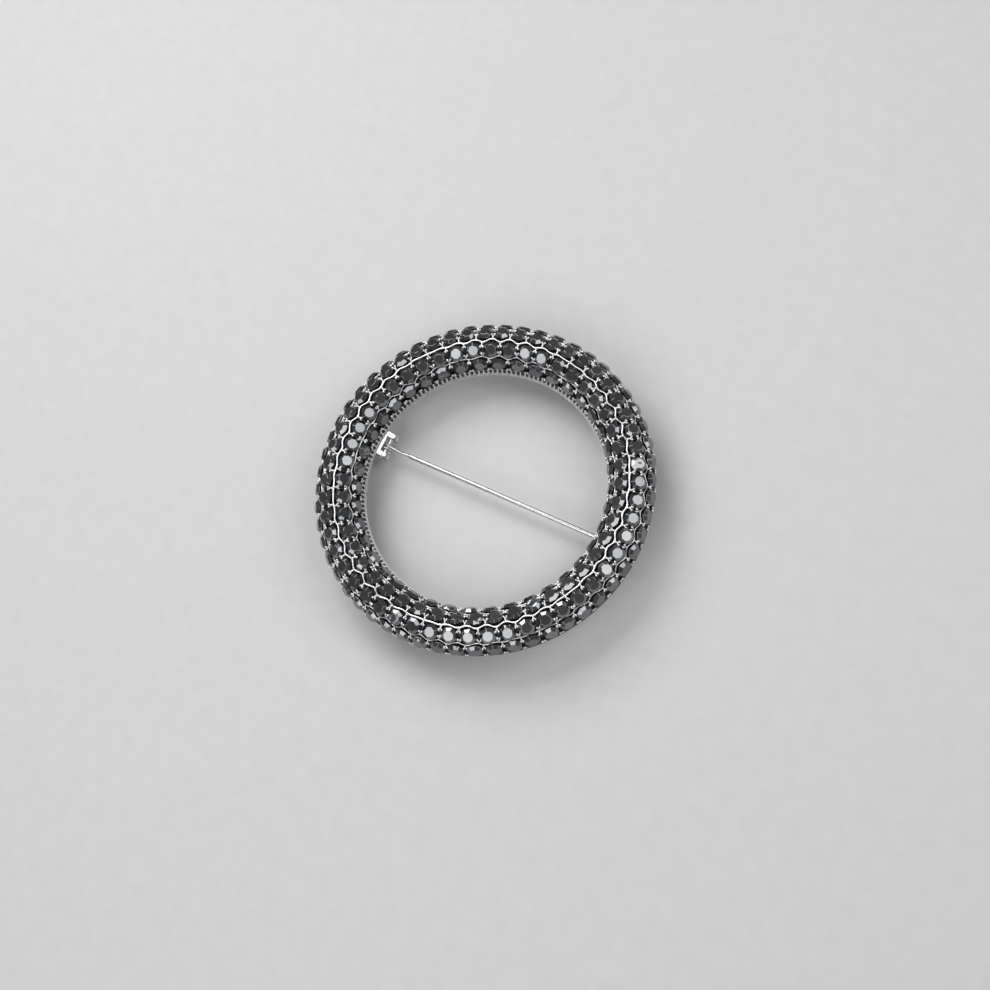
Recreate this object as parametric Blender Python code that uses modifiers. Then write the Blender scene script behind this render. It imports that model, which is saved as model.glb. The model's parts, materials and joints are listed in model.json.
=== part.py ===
"""Open ring brooch, pave set with four rows of faceted stones, with a hinged pin and a safety catch.

Frame: the origin is the ring's centre on the plane of its back rims. +Z points out of the front, and +X runs
along the pin, from the hinge towards the catch. All lengths are in metres.
"""

import math

import bmesh
import bpy
from mathutils import Matrix, Vector

MM = 0.001

# Ring casting. The section is half round: its rails and stones stand round a centre line above the back plane.
RING_RADIUS = 21.2 * MM
RING_STEPS = 44
SECTION_LIFT = 0.95 * MM
FLOOR_DISTANCE = 2.1 * MM
HOLLOW_DISTANCE = 1.6 * MM
CROWN_RAIL_TOP = 3.0 * MM
SIDE_RAIL_TOP = 2.93 * MM
RAIL_THICKNESS = 0.28 * MM
RAIL_FOOT_SHARE = 0.8
SIDE_RAIL_LEAN = math.radians(46.0)
INNER_RIM_HALF_WIDTH = 3.64 * MM
OUTER_RIM_HALF_WIDTH = 3.42 * MM
RIM_SHOULDER_HALF_WIDTH = 3.3 * MM
RIM_HEIGHT = 0.85 * MM
RIM_CHAMFER = 0.12 * MM
RECESS_HALF_WIDTH = 2.85 * MM
RECESS_DEPTH = 0.55 * MM

# Stones: round chatons of 2.3 mm, with eight crown facets round a flat table.
STONE_RADIUS = 1.15 * MM
TABLE_RADIUS = 0.68 * MM
CULET_RADIUS = 0.25 * MM
GIRDLE_DISTANCE = 3.1 * MM
CROWN_HEIGHT = 0.46 * MM
PAVILION_DEPTH = 0.7 * MM
STONE_SIDES = 8
FLANK_DROP = 0.08 * MM
MAIN_LEAN = math.radians(24.5)
FLANK_LEAN = math.radians(67.5)

# Cement beds, which hold the stones in the channels between the rails.
BED_GAP = 0.15 * MM
BED_TOP = 2.75 * MM
BED_STEP = math.radians(10.0)
SECTORS = 6
SECTOR_GAP = 0.1 * MM
MAIN_BED_HALF_ANGLE = math.radians(15.5)
FLANK_BED_HALF_ANGLE = math.radians(13.5)

# Rows: name, stone count, lean of the row (inner rows lean in), azimuth of the first stone, and how far the
# hand-set spacing drifts, and towards which azimuth.
ROWS = (
    ("inner_flank", 41, -FLANK_LEAN, FLANK_BED_HALF_ANGLE, 3.4, -1.2, 260.0),
    ("inner_main", 47, -MAIN_LEAN, MAIN_BED_HALF_ANGLE, -2.6, -1.8, 215.0),
    ("outer_main", 53, MAIN_LEAN, MAIN_BED_HALF_ANGLE, 0.75, -1.7, 175.0),
    ("outer_flank", 56, FLANK_LEAN, FLANK_BED_HALF_ANGLE, -0.5, 0.0, 0.0),
)

# Pin wire and hinge, on a line a little off the ring's diameter.
PIN_Y = 0.45 * MM
PIN_Z = -1.9 * MM
WIRE_RADIUS = 0.35 * MM
PIVOT_X = -17.2 * MM
PIN_TIP_X = 22.7 * MM
POINT_LENGTH = 2.6 * MM
SHANK_END = 3.4 * MM
SHANK_TAPER = 0.8 * MM
SHANK_SHARE = 0.62
KNUCKLE_RADIUS = 0.95 * MM
KNUCKLE_HALF_WIDTH = 1.1 * MM
KNUCKLE_BORE = 0.52 * MM
KNUCKLE_STEPS = 32
RIVET_RADIUS = 0.45 * MM
RIVET_HEAD_RADIUS = 0.72 * MM
RIVET_HEAD_HEIGHT = 0.28 * MM
RIVET_GAP = 0.03 * MM
RIVET_STEPS = 32
EAR_RADIUS = 1.15 * MM
EAR_OUTER = 1.85 * MM
EAR_INNER = 1.2 * MM
EAR_HOLE = 0.5 * MM
EAR_HOLE_STEPS = 32
EAR_SHOULDER = math.radians(60.0)
EAR_STEPS = 32
HINGE_SLOT_BACK = 1.5 * MM
WEB_THICKNESS = 0.45 * MM
WEB_FRONT = -0.6 * MM
WEB_SLOT_SHARE = 0.8
RISER_LENGTH = 1.2 * MM

# Plates of the hinge and the catch, soldered in the recess of the ring's back.
PLATE_GAP = 0.05 * MM
PLATE_THICKNESS = 0.42 * MM
PLATE_HALF_WIDTH = 2.2 * MM
PLATE_INNER = 18.45 * MM
PLATE_OUTER = 23.7 * MM

# Safety catch: a C-shaped housing, and a slotted rotor that closes it.
CATCH_X = 20.6 * MM
HOUSING_RADIUS = 1.75 * MM
HOUSING_BORE = 1.22 * MM
HOUSING_HALF_LENGTH = 0.8 * MM
HOUSING_STEPS = 40
MOUTH_HALF_ANGLE = math.radians(58.0)
NECK_HALF_WIDTH = 0.9 * MM
NECK_HALF_LENGTH = 0.72 * MM
NECK_FOOT = 1.38 * MM
ROTOR_RADIUS = 1.14 * MM
FLANGE_RADIUS = 1.5 * MM
FLANGE_INNER = 0.87 * MM
FLANGE_OUTER = 1.2 * MM
ROTOR_STEPS = 44
SLOT_HALF_WIDTH = 0.46 * MM
SLOT_STEPS = 16
TAB_ANGLE = math.radians(-43.0)
TAB_REACH = 3.373 * MM
TAB_THICKNESS = 0.5 * MM
TAB_HALF_LENGTH = 0.55 * MM
TAB_ROOT = 0.91 * MM
TAB_STEPS = 12

MERGE = 1e-7


def clear_scene():
    for obj in list(bpy.data.objects):
        bpy.data.objects.remove(obj, do_unlink=True)


def make_collection(name):
    collection = bpy.data.collections.new(name)
    bpy.context.scene.collection.children.link(collection)
    return collection


def make_material(name, colour, roughness, metallic):
    material = bpy.data.materials.new(name)
    material.use_nodes = True
    shader = material.node_tree.nodes["Principled BSDF"]
    shader.inputs["Base Color"].default_value = (*colour, 1.0)
    shader.inputs["Roughness"].default_value = roughness
    shader.inputs["Metallic"].default_value = metallic
    material.diffuse_color = (*colour, 1.0)
    return material


def gunmetal():
    """Silver-grey plating of the casting."""
    return make_material("gunmetal", (0.55, 0.55, 0.57), 0.22, 1.0)


def steel():
    """Polished wire and findings."""
    return make_material("polished_steel", (0.78, 0.78, 0.8), 0.12, 1.0)


def jet():
    """Dark hematite stones."""
    return make_material("jet_stone", (0.03, 0.03, 0.035), 0.05, 0.6)


def add_object(name, mesh, collection, material):
    obj = bpy.data.objects.new(name, mesh)
    collection.objects.link(obj)
    mesh.materials.clear()
    mesh.materials.append(material)
    return obj


def mesh_from(bm, name):
    mesh = bpy.data.meshes.new(name)
    bmesh.ops.recalc_face_normals(bm, faces=bm.faces)
    bm.to_mesh(mesh)
    bm.free()
    return mesh


def soften(obj):
    """Shade the round surfaces smooth and keep the real edges sharp."""
    obj.data.shade_smooth()
    obj.data.set_sharp_from_angle(angle=math.radians(35.0))


def evaluated_mesh(obj, name):
    """The object's mesh with its modifiers applied, welded."""
    depsgraph = bpy.context.evaluated_depsgraph_get()
    mesh = bpy.data.meshes.new_from_object(obj.evaluated_get(depsgraph), depsgraph=depsgraph)
    mesh.name = name
    bm = bmesh.new()
    bm.from_mesh(mesh)
    bmesh.ops.remove_doubles(bm, verts=bm.verts, dist=MERGE)
    bm.to_mesh(mesh)
    bm.free()
    return mesh


def to_mesh_object(obj, collection):
    """Replace a curve, or an object with modifiers, by the mesh that it makes."""
    name = obj.name
    mesh = evaluated_mesh(obj, name)
    matrix = obj.matrix_world.copy()
    bpy.data.objects.remove(obj, do_unlink=True)
    made = bpy.data.objects.new(name, mesh)
    made.matrix_world = matrix
    collection.objects.link(made)
    return made


def add_boolean(obj, tool, operation):
    modifier = obj.modifiers.new(f"{operation.lower()}_{tool.name}", "BOOLEAN")
    modifier.operation = operation
    modifier.solver = "EXACT"
    modifier.object = tool
    tool.hide_render = True
    tool.display_type = "WIRE"


def make_tool(name, mesh, tools, location=(0.0, 0.0, 0.0), rotation=(0.0, 0.0, 0.0)):
    """A cutter or a joined shape, kept in the collection of tools."""
    obj = bpy.data.objects.new(name, mesh)
    obj.location = location
    obj.rotation_euler = rotation
    tools.objects.link(obj)
    return obj


def box_mesh(name, low, high):
    bm = bmesh.new()
    bmesh.ops.create_cube(bm, size=1.0)
    size = [high[i] - low[i] for i in range(3)]
    centre = [(high[i] + low[i]) / 2 for i in range(3)]
    bmesh.ops.scale(bm, vec=size, verts=bm.verts)
    bmesh.ops.translate(bm, vec=centre, verts=bm.verts)
    return mesh_from(bm, name)


def cylinder_mesh(name, radius, length, sides, axis):
    """A cylinder centred on the origin, along the Y axis or the X axis."""
    bm = bmesh.new()
    bmesh.ops.create_cone(
        bm, cap_ends=True, segments=sides, radius1=radius, radius2=radius, depth=length
    )
    turn = Matrix.Rotation(math.radians(90.0), 4, "X" if axis == "Y" else "Y")
    bmesh.ops.transform(bm, matrix=turn, verts=bm.verts)
    return mesh_from(bm, name)


def profile_mesh(name, points, closed):
    """A profile in the XZ plane, ready for a Screw modifier about Z."""
    bm = bmesh.new()
    verts = [bm.verts.new((x, 0.0, z)) for x, z in points]
    for first, second in zip(verts, verts[1:]):
        bm.edges.new((first, second))
    if closed:
        bm.edges.new((verts[-1], verts[0]))
    mesh = bpy.data.meshes.new(name)
    bm.to_mesh(mesh)
    bm.free()
    return mesh


def add_screw(obj, steps):
    modifier = obj.modifiers.new("turn", "SCREW")
    modifier.axis = "Z"
    modifier.angle = math.tau
    modifier.steps = steps
    modifier.render_steps = steps
    modifier.use_merge_vertices = True
    modifier.merge_threshold = MERGE
    return modifier


def section_point(distance, lean):
    """A point of the ring's section, as its offset from the ring radius and its height."""
    return distance * math.sin(lean), SECTION_LIFT + distance * math.cos(lean)


def rail_points(lean, top):
    """One rail, from its inner foot over its top to its outer foot."""
    half_top = RAIL_THICKNESS / 2 / top
    half_foot = RAIL_THICKNESS * RAIL_FOOT_SHARE / FLOOR_DISTANCE
    return [
        section_point(FLOOR_DISTANCE, lean - half_foot),
        section_point(top, lean - half_top),
        section_point(top, lean + half_top),
        section_point(FLOOR_DISTANCE, lean + half_foot),
    ]


def shell_half_section(rim_half_width):
    """Half of the casting's section, from the crown down its outside and up the hollow."""
    crown = rail_points(0.0, CROWN_RAIL_TOP)[2:]
    main_floor = [section_point(FLOOR_DISTANCE, MAIN_LEAN)]
    side = rail_points(SIDE_RAIL_LEAN, SIDE_RAIL_TOP)
    flank_floor = [section_point(FLOOR_DISTANCE, math.radians(lean)) for lean in (69.0, 86.0)]
    rim = [
        (FLOOR_DISTANCE, RIM_HEIGHT),
        (RIM_SHOULDER_HALF_WIDTH - RIM_CHAMFER, RIM_HEIGHT),
        (RIM_SHOULDER_HALF_WIDTH, RIM_HEIGHT - RIM_CHAMFER),
        (rim_half_width, RIM_CHAMFER),
        (rim_half_width - RIM_CHAMFER, 0.0),
    ]
    recess = [
        (RECESS_HALF_WIDTH, 0.0),
        (RECESS_HALF_WIDTH, RECESS_DEPTH),
    ]
    hollow = [
        section_point(HOLLOW_DISTANCE, math.radians(lean)) for lean in (104.5, 75.0, 45.0, 15.0)
    ]
    return crown + main_floor + side + flank_floor + rim + recess + hollow


def build_ring_shell(collection, material):
    """The cast ring: a half-round shell, open at the back, with rails between its stone channels."""
    outer_half = shell_half_section(OUTER_RIM_HALF_WIDTH)
    inner_half = shell_half_section(INNER_RIM_HALF_WIDTH)
    outer = [(RING_RADIUS + offset, height) for offset, height in outer_half]
    inner = [(RING_RADIUS - offset, height) for offset, height in reversed(inner_half)]
    mesh = profile_mesh("ring_shell", outer + inner, closed=True)
    obj = add_object("ring_shell", mesh, collection, material)
    add_screw(obj, RING_STEPS)
    return obj


def stone_azimuth(index, row):
    """Azimuth of a stone: even spacing with a slow hand-set drift."""
    _, count, _, _, first, drift, direction = row
    even = math.tau * index / count
    return even + math.radians(first + drift * math.cos(even - math.radians(direction)))


def stone_matrix(azimuth, lean, distance):
    """Places a stone, whose own axis is +Z, on the ring with its table facing out."""
    about = Matrix.Rotation(azimuth, 4, "Z")
    out = Matrix.Translation((RING_RADIUS, 0.0, SECTION_LIFT))
    tilt = Matrix.Rotation(lean, 4, "Y")
    lift = Matrix.Translation((0.0, 0.0, distance))
    return about @ out @ tilt @ lift


def add_stone(bm, matrix):
    """One chaton: a crown from the girdle up to the table, and a pavilion down into the cement."""
    levels = (
        (CULET_RADIUS, -PAVILION_DEPTH),
        (STONE_RADIUS, 0.0),
        (TABLE_RADIUS, CROWN_HEIGHT),
    )
    rings = []
    for radius, height in levels:
        rings.append(
            [
                bm.verts.new(matrix @ Vector((radius * math.cos(turn), radius * math.sin(turn), height)))
                for turn in (math.tau * (side + 0.5) / STONE_SIDES for side in range(STONE_SIDES))
            ]
        )
    for low, high in zip(rings, rings[1:]):
        for side in range(STONE_SIDES):
            after = (side + 1) % STONE_SIDES
            bm.faces.new((low[side], low[after], high[after], high[side]))
    bm.faces.new(rings[-1])
    bm.faces.new(list(reversed(rings[0])))


def bed_mesh(name, row, start, end):
    """A sector of the cement bed: its section, turned from one azimuth to the other."""
    _, _, lean, half_angle, _, _, _ = row
    low = FLOOR_DISTANCE + BED_GAP
    corners = (
        section_point(low, lean - half_angle),
        section_point(low, lean + half_angle),
        section_point(BED_TOP, lean + half_angle),
        section_point(BED_TOP, lean - half_angle),
    )
    bm = bmesh.new()
    verts = [bm.verts.new((RING_RADIUS + offset, 0.0, height)) for offset, height in corners]
    face = bm.faces.new(verts)
    bmesh.ops.rotate(bm, verts=verts, cent=(0.0, 0.0, 0.0), matrix=Matrix.Rotation(start, 3, "Z"))
    steps = math.ceil((end - start) / BED_STEP)
    bmesh.ops.spin(
        bm,
        geom=[face] + list(face.edges) + verts,
        cent=(0.0, 0.0, 0.0),
        axis=(0.0, 0.0, 1.0),
        angle=end - start,
        steps=steps,
    )
    bmesh.ops.remove_doubles(bm, verts=bm.verts, dist=MERGE)
    return mesh_from(bm, name)


def build_stone_sector(row, sector, collection, tools, material):
    """A run of stones in one row, held together by the cement bed under them."""
    row_name, count, lean, _, _, _, _ = row
    name = f"stones_{row_name}_{sector + 1}"
    first = round(count * sector / SECTORS)
    last = round(count * (sector + 1) / SECTORS)
    drop = FLANK_DROP if abs(lean) > SIDE_RAIL_LEAN else 0.0
    margin = SECTOR_GAP / 2 / RING_RADIUS
    start = (stone_azimuth(first - 1, row) + stone_azimuth(first, row)) / 2 + margin
    end = (stone_azimuth(last - 1, row) + stone_azimuth(last, row)) / 2 - margin
    stones = bmesh.new()
    for index in range(first, last):
        add_stone(stones, stone_matrix(stone_azimuth(index, row), lean, GIRDLE_DISTANCE - drop))
    tool = make_tool(f"{name}_chatons", mesh_from(stones, f"{name}_chatons"), tools)
    obj = add_object(name, bed_mesh(name, row, start, end), collection, material)
    add_boolean(obj, tool, "UNION")
    return obj


def flat_outline(name, points, half_thickness, tools):
    """A flat outline given a thickness, as a mesh."""
    curve = bpy.data.curves.new(name, "CURVE")
    curve.dimensions = "2D"
    curve.fill_mode = "BOTH"
    curve.extrude = half_thickness
    spline = curve.splines.new("POLY")
    spline.points.add(len(points) - 1)
    for point, (across, up) in zip(spline.points, points):
        point.co = (across, up, 0.0, 1.0)
    spline.use_cyclic_u = True
    obj = bpy.data.objects.new(name, curve)
    tools.objects.link(obj)
    return to_mesh_object(obj, tools)


def place_outline(obj, location, heading):
    """Stand a flat outline up, facing along -Y, and turn it about Z."""
    obj.location = location
    obj.rotation_euler = (math.radians(90.0), 0.0, heading)


def hinge_outline():
    """Side view of the hinge, in X and Z: a riser out of the plate, the web under the rim, and a round ear."""
    riser_inner = -PLATE_INNER
    riser_outer = riser_inner - RISER_LENGTH
    riser_top = PLATE_GAP + PLATE_THICKNESS / 2
    web_bottom = -PLATE_GAP - WEB_THICKNESS
    ear_back = PIVOT_X - EAR_RADIUS
    span = math.pi + EAR_SHOULDER
    turns = [EAR_SHOULDER - span * step / EAR_STEPS for step in range(EAR_STEPS + 1)]
    round_end = [
        (PIVOT_X + EAR_RADIUS * math.cos(turn), PIN_Z + EAR_RADIUS * math.sin(turn)) for turn in turns
    ]
    return [
        (ear_back, web_bottom),
        (riser_outer, web_bottom),
        (riser_outer, riser_top),
        (riser_inner, riser_top),
        (riser_inner, -PLATE_GAP),
        (PIVOT_X + WEB_FRONT, -PLATE_GAP),
    ] + round_end


def build_hinge_body(collection, tools, material):
    """Plate in the recess of the back, with a web under the inner rim and two ears for the pin's rivet."""
    plate = box_mesh(
        "hinge_body",
        (-PLATE_OUTER, PIN_Y - PLATE_HALF_WIDTH, PLATE_GAP),
        (-PLATE_INNER + PLATE_GAP, PIN_Y + PLATE_HALF_WIDTH, PLATE_GAP + PLATE_THICKNESS),
    )
    slot = box_mesh(
        "hinge_slot",
        (PIVOT_X - HINGE_SLOT_BACK, PIN_Y - EAR_INNER, PIN_Z - 2 * EAR_RADIUS),
        (PIVOT_X + 2 * EAR_RADIUS, PIN_Y + EAR_INNER, -PLATE_GAP - WEB_THICKNESS * WEB_SLOT_SHARE),
    )
    bore = cylinder_mesh("hinge_bore", EAR_HOLE, 3 * EAR_OUTER, EAR_HOLE_STEPS, "Y")
    obj = add_object("hinge_body", plate, collection, material)
    ears = flat_outline("hinge_ears", hinge_outline(), EAR_OUTER, tools)
    place_outline(ears, (0.0, PIN_Y, 0.0), 0.0)
    add_boolean(obj, ears, "UNION")
    add_boolean(obj, make_tool("hinge_slot", slot, tools), "DIFFERENCE")
    add_boolean(obj, make_tool("hinge_bore", bore, tools, (PIVOT_X, PIN_Y, PIN_Z)), "DIFFERENCE")
    return obj


def build_hinge_rivet(collection, material):
    """The rivet through the ears, with a low domed head at each end."""
    head_start = EAR_OUTER + RIVET_GAP
    head_end = head_start + RIVET_HEAD_HEIGHT
    points = [
        (0.0, head_end),
        (RIVET_HEAD_RADIUS * 0.6, head_end - RIVET_HEAD_HEIGHT * 0.2),
        (RIVET_HEAD_RADIUS, head_start + RIVET_HEAD_HEIGHT * 0.3),
        (RIVET_HEAD_RADIUS, head_start),
        (RIVET_RADIUS, head_start),
        (RIVET_RADIUS, -head_start),
        (RIVET_HEAD_RADIUS, -head_start),
        (RIVET_HEAD_RADIUS, -head_start - RIVET_HEAD_HEIGHT * 0.3),
        (RIVET_HEAD_RADIUS * 0.6, -head_end + RIVET_HEAD_HEIGHT * 0.2),
        (0.0, -head_end),
    ]
    obj = add_object("hinge_rivet", profile_mesh("hinge_rivet", points, False), collection, material)
    add_screw(obj, RIVET_STEPS)
    obj.location = (PIVOT_X, PIN_Y, PIN_Z)
    obj.rotation_euler = (math.radians(90.0), 0.0, 0.0)
    return obj


def pin_wire(tools):
    """The straight wire, with a thinner shank by the hinge and a ground point, turned into a mesh."""
    curve = bpy.data.curves.new("pin_wire", "CURVE")
    curve.dimensions = "3D"
    curve.bevel_depth = WIRE_RADIUS
    curve.bevel_resolution = 2
    curve.use_fill_caps = True
    length = PIN_TIP_X - PIVOT_X
    start = (KNUCKLE_RADIUS + KNUCKLE_BORE) / 2
    stations = (
        (start, SHANK_SHARE),
        (SHANK_END, SHANK_SHARE),
        (SHANK_END + SHANK_TAPER, 1.0),
        (length - POINT_LENGTH, 1.0),
        (length - POINT_LENGTH * 0.5, 0.72),
        (length - POINT_LENGTH * 0.15, 0.34),
        (length, 0.12),
    )
    spline = curve.splines.new("POLY")
    spline.points.add(len(stations) - 1)
    for point, (along, radius) in zip(spline.points, stations):
        point.co = (along, 0.0, 0.0, 1.0)
        point.radius = radius
    obj = bpy.data.objects.new("pin_wire", curve)
    tools.objects.link(obj)
    obj.location = (PIVOT_X, PIN_Y, PIN_Z)
    bpy.context.view_layer.update()
    return to_mesh_object(obj, tools)


def build_pin_stem(collection, tools, material):
    """The pin: a knuckle that turns on the rivet, and the wire."""
    points = [
        (KNUCKLE_RADIUS, KNUCKLE_HALF_WIDTH),
        (KNUCKLE_RADIUS, -KNUCKLE_HALF_WIDTH),
        (KNUCKLE_BORE, -KNUCKLE_HALF_WIDTH),
        (KNUCKLE_BORE, KNUCKLE_HALF_WIDTH),
    ]
    obj = add_object("pin_stem", profile_mesh("pin_stem", points, True), collection, material)
    obj.location = (PIVOT_X, PIN_Y, PIN_Z)
    obj.rotation_euler = (math.radians(90.0), 0.0, 0.0)
    add_screw(obj, KNUCKLE_STEPS)
    add_boolean(obj, pin_wire(tools), "UNION")
    return obj


def housing_outline():
    """The C of the catch housing: outer arc one way, inner arc back, mouth towards the back of the brooch."""
    first = MOUTH_HALF_ANGLE - math.pi / 2
    span = math.tau - 2 * MOUTH_HALF_ANGLE
    turns = [first + span * step / HOUSING_STEPS for step in range(HOUSING_STEPS + 1)]
    outer = [(HOUSING_RADIUS * math.cos(turn), HOUSING_RADIUS * math.sin(turn)) for turn in turns]
    inner = [(HOUSING_BORE * math.cos(turn), HOUSING_BORE * math.sin(turn)) for turn in reversed(turns)]
    return outer + inner


def build_catch_body(collection, tools, material):
    """Plate in the recess of the back, a neck, and the C-shaped housing round the rotor."""
    plate = box_mesh(
        "catch_body",
        (PLATE_INNER, PIN_Y - PLATE_HALF_WIDTH, PLATE_GAP),
        (PLATE_OUTER, PIN_Y + PLATE_HALF_WIDTH, PLATE_GAP + PLATE_THICKNESS),
    )
    neck = box_mesh(
        "catch_neck",
        (
            CATCH_X - NECK_HALF_LENGTH,
            PIN_Y - NECK_HALF_WIDTH,
            PIN_Z + NECK_FOOT,
        ),
        (
            CATCH_X + NECK_HALF_LENGTH,
            PIN_Y + NECK_HALF_WIDTH,
            PLATE_GAP + PLATE_THICKNESS / 2,
        ),
    )
    obj = add_object("catch_body", plate, collection, material)
    add_boolean(obj, make_tool("catch_neck", neck, tools), "UNION")
    housing = flat_outline("catch_housing", housing_outline(), HOUSING_HALF_LENGTH, tools)
    place_outline(housing, (CATCH_X, PIN_Y, PIN_Z), math.radians(90.0))
    add_boolean(obj, housing, "UNION")
    return obj


def tab_outline():
    """The thumb tab: a tongue with a round end, pointing away from the rotor's axis."""
    half = TAB_THICKNESS / 2
    end = TAB_REACH - half
    tip = [
        (end + half * math.sin(turn), -half * math.cos(turn))
        for turn in (math.pi * step / TAB_STEPS for step in range(TAB_STEPS + 1))
    ]
    along = [(TAB_ROOT, -half)] + tip + [(TAB_ROOT, half)]
    down = -math.pi / 2 + TAB_ANGLE
    return [
        (
            reach * math.cos(down) - side * math.sin(down),
            reach * math.sin(down) + side * math.cos(down),
        )
        for reach, side in along
    ]


def build_catch_rotor(collection, tools, material):
    """The rotor: a spool with a slot for the pin, and the thumb tab that turns it."""
    points = [
        (0.0, FLANGE_OUTER),
        (FLANGE_RADIUS, FLANGE_OUTER),
        (FLANGE_RADIUS, FLANGE_INNER),
        (ROTOR_RADIUS, FLANGE_INNER),
        (ROTOR_RADIUS, -FLANGE_INNER),
        (FLANGE_RADIUS, -FLANGE_INNER),
        (FLANGE_RADIUS, -FLANGE_OUTER),
        (0.0, -FLANGE_OUTER),
    ]
    axis = (CATCH_X, PIN_Y, PIN_Z)
    obj = add_object("catch_rotor", profile_mesh("catch_rotor", points, False), collection, material)
    obj.location = axis
    obj.rotation_euler = (0.0, math.radians(90.0), 0.0)
    add_screw(obj, ROTOR_STEPS)
    slot = box_mesh(
        "rotor_slot",
        (CATCH_X - 2 * FLANGE_OUTER, PIN_Y - SLOT_HALF_WIDTH, PIN_Z - 2 * FLANGE_RADIUS),
        (CATCH_X + 2 * FLANGE_OUTER, PIN_Y + SLOT_HALF_WIDTH, PIN_Z),
    )
    bore = cylinder_mesh("rotor_bore", SLOT_HALF_WIDTH, 4 * FLANGE_OUTER, SLOT_STEPS, "X")
    tab = flat_outline("rotor_tab", tab_outline(), TAB_HALF_LENGTH, tools)
    place_outline(tab, axis, math.radians(90.0))
    add_boolean(obj, tab, "UNION")
    add_boolean(obj, make_tool("rotor_slot", slot, tools), "DIFFERENCE")
    add_boolean(obj, make_tool("rotor_bore", bore, tools, axis), "DIFFERENCE")
    return obj


def main():
    clear_scene()
    brooch = make_collection("brooch")
    tools = make_collection("tools")
    ring_metal = gunmetal()
    wire_metal = steel()
    stone = jet()
    soften(build_ring_shell(brooch, ring_metal))
    for row in ROWS:
        for sector in range(SECTORS):
            build_stone_sector(row, sector, brooch, tools, stone)
    build_hinge_body(brooch, tools, wire_metal)
    soften(build_hinge_rivet(brooch, wire_metal))
    soften(build_pin_stem(brooch, tools, wire_metal))
    build_catch_body(brooch, tools, wire_metal)
    soften(build_catch_rotor(brooch, tools, wire_metal))


main()
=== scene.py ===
"""Looks of the open ring brooch: cast ring, woven rails, bead prongs, faceted dark stones, pin and catch.

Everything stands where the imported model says. The stones' places and directions are read off the tables of
its stones, and the casting is the shell's own section, turned more finely. All lengths are in metres.
"""

import json
import math
import random
from collections import namedtuple

import bmesh
import bpy
import numpy as np
from mathutils import Matrix, Vector

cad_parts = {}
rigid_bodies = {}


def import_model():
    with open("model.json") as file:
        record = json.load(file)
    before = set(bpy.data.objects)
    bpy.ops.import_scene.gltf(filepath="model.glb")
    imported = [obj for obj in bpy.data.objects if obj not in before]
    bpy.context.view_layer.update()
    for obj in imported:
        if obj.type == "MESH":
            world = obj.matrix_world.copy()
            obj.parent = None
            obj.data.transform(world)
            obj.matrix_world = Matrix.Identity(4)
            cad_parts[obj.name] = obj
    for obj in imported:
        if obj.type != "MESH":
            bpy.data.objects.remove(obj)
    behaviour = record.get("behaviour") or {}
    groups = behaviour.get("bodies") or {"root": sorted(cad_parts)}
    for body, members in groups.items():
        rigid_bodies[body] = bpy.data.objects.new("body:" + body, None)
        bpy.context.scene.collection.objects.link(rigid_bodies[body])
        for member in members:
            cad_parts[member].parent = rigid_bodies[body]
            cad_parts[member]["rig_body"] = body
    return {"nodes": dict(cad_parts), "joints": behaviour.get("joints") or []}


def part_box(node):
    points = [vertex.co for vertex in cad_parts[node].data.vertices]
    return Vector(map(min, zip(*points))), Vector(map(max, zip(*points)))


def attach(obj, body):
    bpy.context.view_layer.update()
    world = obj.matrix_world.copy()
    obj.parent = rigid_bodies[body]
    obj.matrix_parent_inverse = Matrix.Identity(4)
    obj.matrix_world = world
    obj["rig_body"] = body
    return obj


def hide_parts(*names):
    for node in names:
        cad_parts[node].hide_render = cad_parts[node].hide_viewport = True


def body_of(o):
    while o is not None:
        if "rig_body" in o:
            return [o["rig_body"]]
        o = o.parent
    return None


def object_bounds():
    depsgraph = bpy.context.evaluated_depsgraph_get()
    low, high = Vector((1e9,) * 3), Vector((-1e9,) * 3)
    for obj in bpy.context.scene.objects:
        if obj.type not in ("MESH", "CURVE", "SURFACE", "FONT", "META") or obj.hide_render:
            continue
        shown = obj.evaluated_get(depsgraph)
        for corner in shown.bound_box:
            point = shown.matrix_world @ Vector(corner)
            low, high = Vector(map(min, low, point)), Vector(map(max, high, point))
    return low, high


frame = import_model()
cad_low, cad_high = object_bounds()

MM = 0.001
SEED = 7
ROWS = ("inner_flank", "inner_main", "outer_main", "outer_flank")
SECTORS = 6

# The ring's section is drawn round a line inside the ring, a little above the plane of its back rims.
RIM_HALF_WIDTH = 3.42 * MM
RING_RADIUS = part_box("ring_shell")[1].x - RIM_HALF_WIDTH
SECTION_LIFT = 0.95 * MM
TABLE_REACH = 3.4 * MM
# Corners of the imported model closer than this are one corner.
SAME_CORNER = 1e-7
ON_PLANE = 1e-6

# Chatons: eight crown facets round an octagonal table, a thin girdle and a pavilion.
STONE_SIDES = 8
GIRDLE_RADIUS = 1.17 * MM
TABLE_RADIUS = 0.74 * MM
CROWN_HEIGHT = 0.40 * MM
GIRDLE_THICKNESS = 0.05 * MM
PAVILION_DEPTH = 0.62 * MM
CULET_RADIUS = 0.22 * MM
FACET_BEVEL = 0.016 * MM
FACET_ANGLE = math.radians(15.0)
TILT_JITTER = math.radians(3.6)
SEAT_JITTER = 0.03 * MM
SIZE_JITTER = 0.015

# Casting: its channel floor is the lowest place over this distance, and its corners are cut twice.
TURN_STEPS = 352
TURNED_ANGLE = math.radians(50.0)
CHANNEL_LEAST = 1.9 * MM
RAIL_LEAST = 0.2 * MM
CAST_ROUNDING = (0.07 * MM, 0.025 * MM)
CORNER_SHARE = 0.4
OUTER_RIM_SHARE = 0.45
RECESS_HALF_WIDTH = 2.86 * MM

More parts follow.
